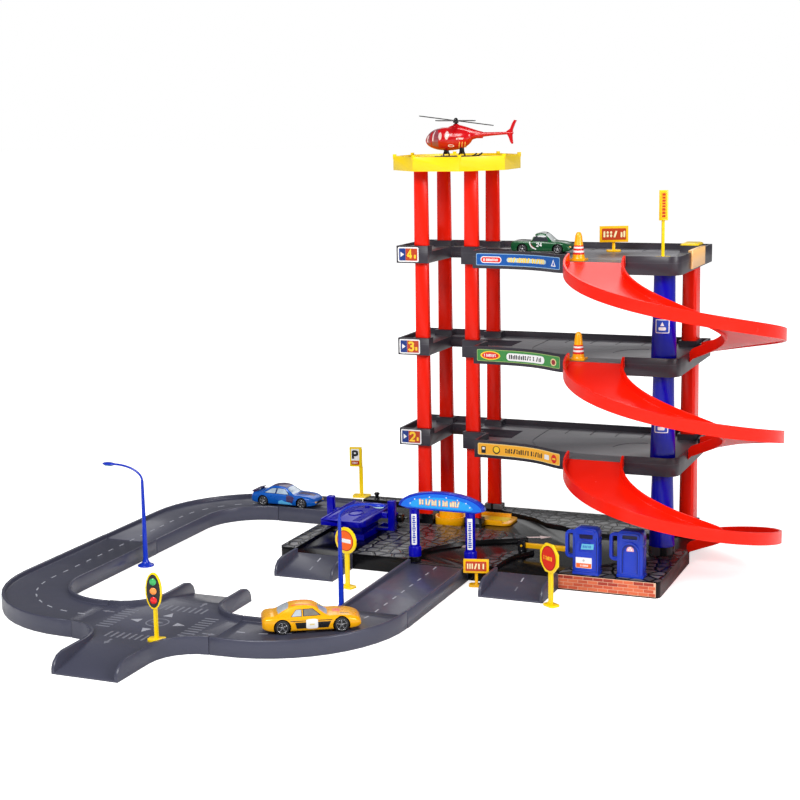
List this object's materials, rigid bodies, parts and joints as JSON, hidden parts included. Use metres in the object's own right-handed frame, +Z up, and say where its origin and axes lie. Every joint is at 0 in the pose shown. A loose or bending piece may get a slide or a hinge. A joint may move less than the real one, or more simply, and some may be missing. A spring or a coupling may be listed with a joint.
{
  "type": "toy parking garage with lift",
  "caption": "Multi-storey toy parking garage with a lift shaft, spiral ramps, helicopter pad, workshop, fuel pumps, entrance arch and a loop of toy road with cars and signs.",
  "frame": {"origin": "centre of the lift shaft on the floor that the garage stands on, at the underside of the base's foot", "axes": "+X to the right along the garage's front, +Y to the back, +Z up"},
  "size_m": [0.7043, 0.6702, 0.4559],
  "materials": {
    "black_plastic": "satin moulded plastic",
    "road_plastic": "satin moulded plastic with light lane marks",
    "red_plastic": "gloss moulded plastic",
    "yellow_plastic": "gloss moulded plastic",
    "amber_plastic": "gloss moulded plastic",
    "blue_plastic": "gloss moulded plastic",
    "blue_paint": "gloss paint over die-cast metal",
    "orange_paint": "gloss paint over die-cast metal",
    "green_paint": "gloss paint over die-cast metal",
    "wheel_plastic": "matt plastic wheels on a steel axle"
  },
  "bodies": {
    "blue_car": {"blue_car_body": "blue_paint"},
    "blue_car_front_wheels": {"blue_car_front_wheels": "wheel_plastic"},
    "blue_car_rear_wheels": {"blue_car_rear_wheels": "wheel_plastic"},
    "orange_car": {"orange_car_body": "orange_paint"},
    "orange_car_front_wheels": {"orange_car_front_wheels": "wheel_plastic"},
    "orange_car_rear_wheels": {"orange_car_rear_wheels": "wheel_plastic"},
    "green_car": {"green_car_body": "green_paint"},
    "green_car_front_wheels": {"green_car_front_wheels": "wheel_plastic"},
    "green_car_rear_wheels": {"green_car_rear_wheels": "wheel_plastic"},
    "lift": {"lift_platform": "yellow_plastic"},
    "barrier": {"barrier_arm": "amber_plastic"},
    "hoist": {"workshop_platform": "blue_plastic"},
    "crank": {"workshop_crank": "black_plastic"},
    "helicopter": {"helicopter_body": "red_plastic", "helicopter_skids": "black_plastic"},
    "rotor": {"helicopter_rotor": "black_plastic"},
    "garage": {"base": "black_plastic", "deck_2": "black_plastic", "deck_3": "black_plastic", "deck_4": "black_plastic", "helipad": "yellow_plastic", "lift_column_front_left": "red_plastic", "lift_column_rear_left": "red_plastic", "lift_column_front_right": "red_plastic", "lift_column_rear_right": "red_plastic", "rear_column": "red_plastic", "rear_column_cap": "yellow_plastic", "front_pillar": "blue_plastic", "top_deck_gate": "amber_plastic", "spiral_ramp_2": "red_plastic", "spiral_ramp_3": "red_plastic", "spiral_ramp_4": "red_plastic", "arch_post_left": "blue_plastic", "arch_post_right": "blue_plastic", "arch_board": "blue_plastic", "barrier_post": "black_plastic", "rear_bollard": "black_plastic", "workshop_frame": "blue_plastic", "workshop_entry": "road_plastic", "forecourt_entry": "road_plastic", "road_front_left": "road_plastic", "road_back_left": "road_plastic", "road_back_straight": "road_plastic", "road_front_right": "road_plastic", "road_arch_straight": "road_plastic", "road_crossing": "road_plastic", "stop_sign": "yellow_plastic", "no_entry_sign": "yellow_plastic", "parking_sign": "yellow_plastic", "notice_sign": "amber_plastic", "deck_sign": "amber_plastic", "mast_sign": "amber_plastic", "traffic_light": "yellow_plastic", "cone_deck_4": "amber_plastic", "cone_deck_3": "amber_plastic", "lamp_left": "blue_plastic", "lamp_right": "blue_plastic", "fuel_pump_left": "blue_plastic", "fuel_pump_right": "blue_plastic"}
  },
  "joints": [
    {"name": "lift_slide", "type": "slide", "parent": "garage", "child": "lift", "axis": [0, 0, 1], "range_m": [0, 0.3]},
    {"name": "barrier_swing", "type": "hinge", "parent": "garage", "child": "barrier", "pos_m": [0.1155, -0.131, 0.0235], "axis": [0, -1, 0], "range_deg": [0, 80]},
    {"name": "hoist_slide", "type": "slide", "parent": "garage", "child": "hoist", "axis": [0, 0, 1], "range_m": [-0.0109, 0]},
    {"name": "crank_turn", "type": "hinge", "parent": "garage", "child": "crank", "pos_m": [-0.051, -0.071, 0.024], "axis": [1, 0, 0], "range_deg": [-180, 0]},
    {"name": "helicopter_lift", "type": "slide", "parent": "garage", "child": "helicopter", "axis": [0, 0, 1], "range_m": [0, 0.1]},
    {"name": "rotor_spin", "type": "hinge", "parent": "helicopter", "child": "rotor", "pos_m": [-0.0007, 0, 0.4496], "axis": [0.1219, 0, 0.9925], "continuous": true},
    {"name": "blue_car_roll", "type": "slide", "parent": "garage", "child": "blue_car", "axis": [1, 0, 0], "range_m": [0, 0.14]},
    {"name": "blue_car_front_wheels_spin", "type": "hinge", "parent": "blue_car", "child": "blue_car_front_wheels", "pos_m": [-0.1869, -0.009, 0.0177], "axis": [0, 1, 0], "continuous": true},
    {"name": "blue_car_rear_wheels_spin", "type": "hinge", "parent": "blue_car", "child": "blue_car_rear_wheels", "pos_m": [-0.2361, -0.009, 0.0177], "axis": [0, 1, 0], "continuous": true},
    {"name": "orange_car_roll", "type": "slide", "parent": "garage", "child": "orange_car", "axis": [0.8704, 0.4924, 0], "range_m": [-0.03, 0.01]},
    {"name": "orange_car_front_wheels_spin", "type": "hinge", "parent": "orange_car", "child": "orange_car_front_wheels", "pos_m": [0.03406, -0.40173, 0.0185], "axis": [-0.4924, 0.8704, 0], "continuous": true},
    {"name": "orange_car_rear_wheels_spin", "type": "hinge", "parent": "orange_car", "child": "orange_car_rear_wheels", "pos_m": [-0.01137, -0.42743, 0.0185], "axis": [-0.4924, 0.8704, 0], "continuous": true},
    {"name": "green_car_roll", "type": "slide", "parent": "garage", "child": "green_car", "axis": [1, 0, 0], "range_m": [0, 0.12]},
    {"name": "green_car_front_wheels_spin", "type": "hinge", "parent": "green_car", "child": "green_car_front_wheels", "pos_m": [0.1237, -0.023, 0.3168], "axis": [0, 1, 0], "continuous": true},
    {"name": "green_car_rear_wheels_spin", "type": "hinge", "parent": "green_car", "child": "green_car_rear_wheels", "pos_m": [0.0853, -0.023, 0.3168], "axis": [0, 1, 0], "continuous": true}
  ],
  "couplings": [
    {"joint": "crank_turn", "follows": "hoist_slide", "rad_per_m": 285.7}
  ]
}
